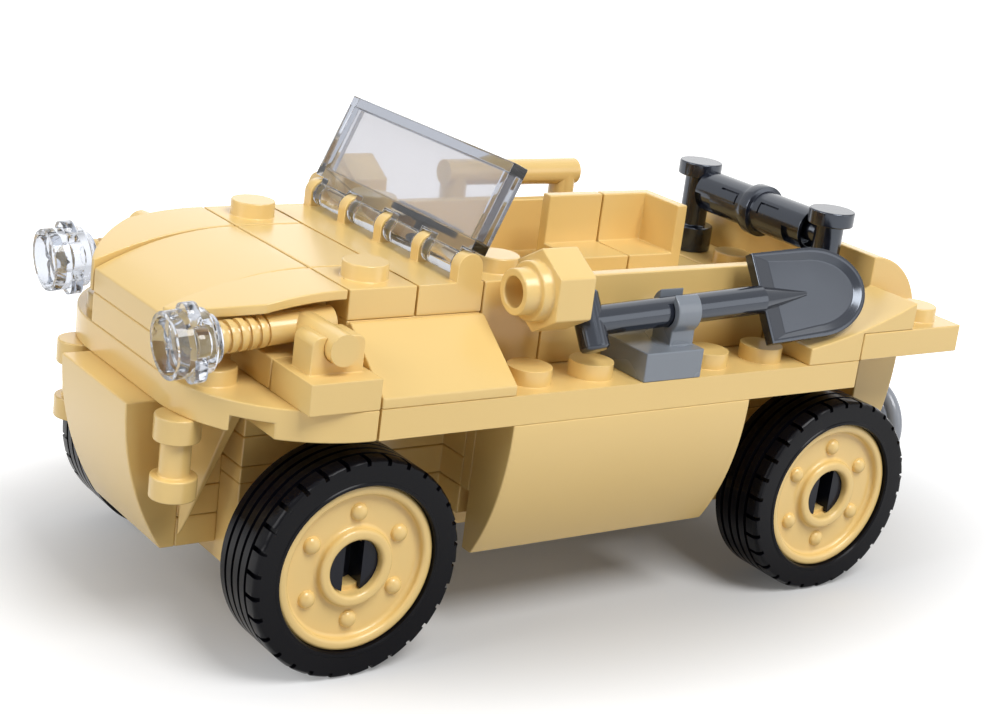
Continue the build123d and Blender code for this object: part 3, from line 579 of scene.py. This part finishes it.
class CAR_OT_wheels(bpy.types.Operator):
    """Makes the tyres with their grooves and notches, the rims with their bolt heads and the pins"""
    bl_idname = "toycar.wheels"
    bl_label = "Wheels"

    def execute(self, context):
        shape = context.scene.car_shape
        for end in ("front", "rear"):
            for side in ("left", "right"):
                self.tyre(end + "_" + side, shape)
                self.rim(end + "_" + side, shape)
        # Painted shade: the pins wear a darker, duller copy of the black finish.
        dress("axle_pins", finish("black_pin"), FINE_EDGE)
        return {"FINISHED"}

    def hub(self, place):
        """Centre of a wheel's outer wall, its outward side and its rim's radius."""
        low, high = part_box("tyre_" + place)
        rim_low, rim_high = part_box("rim_" + place)
        out = 1 if place.endswith("left") else -1
        wall = high.y if out > 0 else low.y
        centre = Vector(((low.x + high.x) / 2, wall, (low.z + high.z) / 2))
        return centre, out, (rim_high.x - rim_low.x) / 2

    def tyre(self, place, shape):
        """A grooved tyre whose shoulder is scalloped along each lug and notched between them."""
        low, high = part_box("tyre_" + place)
        centre, out, inner = self.hub(place)
        radius, width = (high.x - low.x) / 2, high.y - low.y
        bm = bmesh.new()
        outline = tyre_outline(radius, inner, width, shape.groove)
        spun(bm, [(r, -out * y) for r, y in outline], LUG_STEPS * shape.lugs, True)
        for vert in bm.verts:
            away = math.hypot(vert.co.x, vert.co.z)
            if away > radius - 0.3 * MM and abs(vert.co.y) < 0.5 * MM:
                part = turn_of(vert.co + Vector((1e-7, 0, 0))) * shape.lugs / 360 % 1
                vert.co.x *= 1 - shape.scallop * part / away
                vert.co.z *= 1 - shape.scallop * part / away
        sunk = []
        for face in bm.faces:
            middle = face.calc_center_median()
            away = math.hypot(middle.x, middle.z)
            step = int(turn_of(middle) * LUG_STEPS * shape.lugs / 360) % LUG_STEPS
            if step == 0 and abs(middle.y) < SHOULDER_WIDTH and away > radius - 0.6 * MM:
                sunk.append(face)
        sink(bm, sunk, shape.notch, radius - SHOULDER_DROP)
        bmesh.ops.translate(bm, verts=bm.verts, vec=centre)
        node = "tyre_" + place
        finished(node + "_moulded", bm, "wheel_" + place, finish("black_rubber"), (node,), 28)

    def rim(self, place, shape):
        """A dished rim with a cuffed hub and a ring of domed bolt heads."""
        node = "rim_" + place
        low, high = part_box(node)
        centre, out, radius = self.hub(place)
        face, lip, dish, web = 0.5 * MM, radius - 1.15 * MM, 1.4 * MM, 3.4 * MM
        bore, cuff, hub, back = 2.46 * MM, 2.95 * MM, 4.15 * MM, high.y - low.y + face
        well = 2.1 * MM
        outline = [(bore, well), (cuff, well), (cuff, face), (hub, face), (hub, dish), (lip, dish),
                   (lip, face), (radius, face), (radius, back), (lip, back), (lip, web), (hub, web),
                   (hub, back), (bore, back)]
        bm = bmesh.new()
        spun(bm, [(r, -out * y) for r, y in outline], 96, True)
        round_edges(bm, 0.42 * MM, 5, 32, lambda edge: abs(edge.verts[0].co.y) < 1.6 * MM)
        rise, foot, sunk = 0.72 * shape.bolt, 1.12 * shape.bolt, 0.1 * shape.bolt
        dome = []
        for k in range(9):
            angle = math.pi / 2 * k / 8
            dome.append((shape.bolt * math.sin(angle), out * rise * math.cos(angle)))
        dome += [(foot, -out * sunk), (0.0, -out * sunk)]
        for i in range(BOLTS):
            turn = 2 * math.pi * i / BOLTS
            spot = (shape.bolt_ring * math.sin(turn), -out * dish, shape.bolt_ring * math.cos(turn))
            bmesh.ops.translate(bm, verts=spun(bm, dome, 24), vec=spot)
        bmesh.ops.translate(bm, verts=bm.verts, vec=centre)
        finished(node + "_moulded", bm, "wheel_" + place, finish("tan_brick"), (node,))


class CAR_OT_propeller(bpy.types.Operator):
    """Makes the ringed propeller and its arm"""
    bl_idname = "toycar.propeller"
    bl_label = "Propeller"

    def execute(self, context):
        dress("prop_arm", finish("pale_grey"), 0.3 * MM, 3)
        low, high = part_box("propeller")
        radius, tube, sides, blades = (high.z - low.z) / 2, 0.95 * MM, 16, 3
        bm = bmesh.new()
        section = []
        for i in range(sides):
            angle = 2 * math.pi * i / sides
            section.append((radius - tube + tube * math.cos(angle), MM * math.sin(angle)))
        spun(bm, section, 80, True)
        lift = Matrix.Translation((0, 0, 3.7 * MM))
        pitch = Matrix.Rotation(math.radians(38), 4, "Z")
        size = Matrix.Diagonal((4.0 * MM, 0.8 * MM, 3.4 * MM, 1))
        for i in range(blades):
            spin = Matrix.Rotation(2 * math.pi * i / blades, 4, "Y")
            bmesh.ops.create_cube(bm, size=1, matrix=spin @ lift @ pitch @ size)
        round_edges(bm, 0.25 * MM, 3, 60)
        hub = [(1.66, -1.7), (2.5, -1.7), (2.8, -1.4), (2.8, 1.4), (2.5, 1.7), (1.66, 1.7)]
        spun(bm, [(r * MM, y * MM) for r, y in hub], 48, True)
        turn = Matrix.Rotation(-math.pi / 2, 4, "Z")
        bmesh.ops.transform(bm, matrix=Matrix.Translation((low + high) / 2) @ turn, verts=bm.verts)
        finished("propeller_moulded", bm, "propeller", finish("pale_grey"), ("propeller",))
        return {"FINISHED"}


class CAR_OT_stage(bpy.types.Operator):
    """Lays the pale floor, with painted light that turns it white away from the car, and sets the lights,
    the room light and the camera
    """
    bl_idname = "toycar.stage"
    bl_label = "Stage"

    def execute(self, context):
        stage = context.scene.car_stage
        self.floor(stage)
        self.lights(stage)
        self.room(context.scene, stage)
        self.camera(context.scene, stage)
        context.scene.view_settings.view_transform = "Standard"
        return {"FINISHED"}

    def seen(self, nodes, links):
        """One for rays that show a surface to the camera, straight, mirrored or through clear plastic."""
        path = nodes.new("ShaderNodeLightPath")
        first, both = nodes.new("ShaderNodeMath"), nodes.new("ShaderNodeMath")
        first.operation = both.operation = "MAXIMUM"
        links.new(path.outputs["Is Camera Ray"], first.inputs[0])
        links.new(path.outputs["Is Glossy Ray"], first.inputs[1])
        links.new(first.outputs["Value"], both.inputs[0])
        links.new(path.outputs["Is Transmission Ray"], both.inputs[1])
        return both.outputs["Value"]

    def floor(self, stage):
        # Painted light: the floor's own lit colour is pale grey. An emission for camera, mirror and
        # through-clear rays paints it white further from the car and sets how the shade round the car fades
        # out.
        bm = bmesh.new()
        bmesh.ops.create_grid(bm, x_segments=2, y_segments=2, size=FLOOR_HALF)
        mesh = bpy.data.meshes.new("floor")
        bm.to_mesh(mesh)
        bm.free()
        floor = bpy.data.objects.new("floor", mesh)
        bpy.context.scene.collection.objects.link(floor)
        material = bpy.data.materials.new("white_floor")
        material.use_nodes = True
        nodes, links = material.node_tree.nodes, material.node_tree.links
        shader = shader_of(material)
        shader.inputs["Base Color"].default_value = (stage.floor, stage.floor, stage.floor, 1)
        shader.inputs["Roughness"].default_value = 0.9
        shader.inputs["Specular IOR Level"].default_value = 0.0
        place = nodes.new("ShaderNodeTexCoord")
        oval, away = nodes.new("ShaderNodeVectorMath"), nodes.new("ShaderNodeVectorMath")
        oval.operation, away.operation = "MULTIPLY", "LENGTH"
        oval.inputs[1].default_value = PAINTED_SHADE_STRETCH
        links.new(place.outputs["Object"], oval.inputs[0])
        links.new(oval.outputs["Vector"], away.inputs[0])
        painted_light = nodes.new("ShaderNodeMapRange")
        painted_light.interpolation_type = "SMOOTHSTEP"
        painted_light.inputs["From Min"].default_value = stage.painted_white_from
        painted_light.inputs["From Max"].default_value = stage.painted_white_at
        painted_light.inputs["To Min"].default_value = PAINTED_LIGHT_NEAR_CAR
        painted_light.inputs["To Max"].default_value = 1.0
        links.new(away.outputs["Value"], painted_light.inputs["Value"])
        shown = nodes.new("ShaderNodeMath")
        shown.operation = "MULTIPLY"
        links.new(self.seen(nodes, links), shown.inputs[0])
        links.new(painted_light.outputs["Result"], shown.inputs[1])
        shader.inputs["Emission Color"].default_value = (1, 1, 1, 1)
        links.new(shown.outputs["Value"], shader.inputs["Emission Strength"])
        mesh.materials.append(material)

    def lights(self, stage):
        for name, place, size in LIGHTS:
            lamp = bpy.data.lights.new(name, "AREA")
            lamp.shape = "SQUARE"
            lamp.size = size
            lamp.energy = getattr(stage, name)
            light = bpy.data.objects.new(name, lamp)
            light.location = place
            light.rotation_euler = (LIGHT_TARGET - Vector(place)).to_track_quat("-Z", "Y").to_euler()
            light.visible_camera = False
            light.visible_transmission = False
            bpy.context.scene.collection.objects.link(light)

    def room(self, scene, stage):
        world = bpy.data.worlds.new("white_room")
        scene.world = world
        world.use_nodes = True
        nodes, links = world.node_tree.nodes, world.node_tree.links
        ground = nodes["Background"]
        level = nodes.new("ShaderNodeMapRange")
        level.inputs["To Min"].default_value = stage.world
        level.inputs["To Max"].default_value = 1.0
        links.new(self.seen(nodes, links), level.inputs["Value"])
        ground.inputs["Color"].default_value = (1, 1, 1, 1)
        links.new(level.outputs["Result"], ground.inputs["Strength"])

    def camera(self, scene, stage):
        lens = bpy.data.cameras.new("photo_view")
        lens.sensor_fit = "HORIZONTAL"
        lens.sensor_width = 36
        lens.lens = stage.focal
        lens.clip_start = 0.005
        lens.dof.use_dof = False
        camera = bpy.data.objects.new("photo_view", lens)
        camera.location = ORIGIN + Vector((stage.ahead, stage.aside, stage.up))
        camera.rotation_euler = (stage.tilt, stage.roll, stage.heading)
        scene.collection.objects.link(camera)
        scene.camera = camera


class CAR_PT_sidebar(bpy.types.Panel):
    """Lists the steps and sizes of the toy car"""
    bl_idname = "CAR_PT_sidebar"
    bl_label = "Toy car"
    bl_space_type = "VIEW_3D"
    bl_region_type = "UI"
    bl_category = "Toy car"

    def draw(self, context):
        layout = self.layout
        for operator in OPERATORS:
            layout.operator(operator.bl_idname)
        for group in (context.scene.car_finish, context.scene.car_shape, context.scene.car_stage):
            for name in group.bl_rna.properties.keys():
                if name not in ("rna_type", "name"):
                    layout.prop(group, name)


OPERATORS = (CAR_OT_hull, CAR_OT_decks, CAR_OT_hood, CAR_OT_screen, CAR_OT_lamps, CAR_OT_tools,
             CAR_OT_wheels, CAR_OT_propeller, CAR_OT_stage)
CLASSES = (CarFinish, CarShape, CarStage) + OPERATORS + (CAR_PT_sidebar,)


def register():
    for cls in CLASSES:
        bpy.utils.register_class(cls)
    bpy.types.Scene.car_finish = PointerProperty(type=CarFinish)
    bpy.types.Scene.car_shape = PointerProperty(type=CarShape)
    bpy.types.Scene.car_stage = PointerProperty(type=CarStage)


def unregister():
    del bpy.types.Scene.car_stage
    del bpy.types.Scene.car_shape
    del bpy.types.Scene.car_finish
    for cls in reversed(CLASSES):
        bpy.utils.unregister_class(cls)


def main():
    register()
    bpy.ops.toycar.stage()
    bpy.ops.toycar.hull()
    bpy.ops.toycar.decks()
    bpy.ops.toycar.hood()
    bpy.ops.toycar.screen()
    bpy.ops.toycar.lamps()
    bpy.ops.toycar.tools()
    bpy.ops.toycar.wheels()
    bpy.ops.toycar.propeller()


if __name__ == "__main__":
    main()
